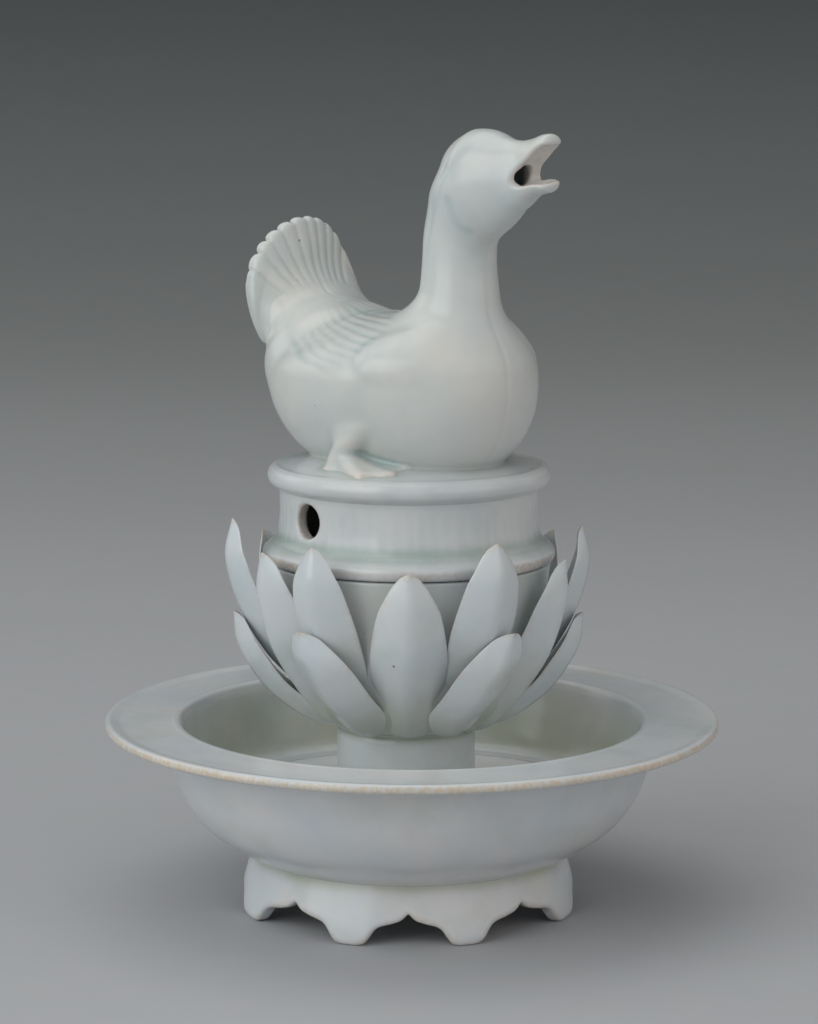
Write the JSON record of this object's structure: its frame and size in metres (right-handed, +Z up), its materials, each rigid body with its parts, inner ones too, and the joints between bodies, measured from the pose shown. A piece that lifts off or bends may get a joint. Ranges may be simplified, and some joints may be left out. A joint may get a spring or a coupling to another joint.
{
  "type": "incense censer",
  "caption": "Lidded incense censer of glazed porcelain: a hollow bird with an open bill on a vented drum, over a petalled cup on a stem in a wide-rimmed basin with scalloped feet.",
  "frame": {"origin": "on the ground, under the middle of the basin", "axes": "+Z up; +X towards the front, the way the bird faces; +Y towards the bird's left"},
  "size_m": [0.1498, 0.1498, 0.1908],
  "materials": {
    "bird_glaze": "clear blue-white glaze, glossy",
    "lid_glaze": "clear blue-white glaze, glossy",
    "lotus_glaze": "clear blue-white glaze, glossy",
    "basin_glaze": "clear blue-grey glaze, glossy",
    "bare_clay": "unglazed fired clay, matt"
  },
  "bodies": {
    "base": {"lotus_cup": "lotus_glaze", "upper_petal_1": "lotus_glaze", "upper_petal_2": "lotus_glaze", "upper_petal_3": "lotus_glaze", "upper_petal_4": "lotus_glaze", "upper_petal_5": "lotus_glaze", "upper_petal_6": "lotus_glaze", "middle_petal_1": "lotus_glaze", "middle_petal_2": "lotus_glaze", "middle_petal_3": "lotus_glaze", "middle_petal_4": "lotus_glaze", "middle_petal_5": "lotus_glaze", "middle_petal_6": "lotus_glaze", "lower_petal_1": "lotus_glaze", "lower_petal_2": "lotus_glaze", "lower_petal_3": "lotus_glaze", "lower_petal_4": "lotus_glaze", "lower_petal_5": "lotus_glaze", "lower_petal_6": "lotus_glaze", "stem": "lotus_glaze", "basin": "basin_glaze", "foot_ring": "basin_glaze"},
    "lid": {"bird_right_half": "bird_glaze", "bird_left_half": "bird_glaze", "upper_mandible": "bird_glaze", "lower_mandible": "bird_glaze", "tail_fan": "bird_glaze", "right_leg": "bird_glaze", "left_leg": "bird_glaze", "lid_plate": "lid_glaze", "lid_drum": "lid_glaze", "lid_collar": "bare_clay"}
  },
  "joints": [
    {"name": "lid_lift", "type": "slide", "parent": "base", "child": "lid", "axis": [0, 0, 1], "range_m": [0, 0.07]}
  ]
}
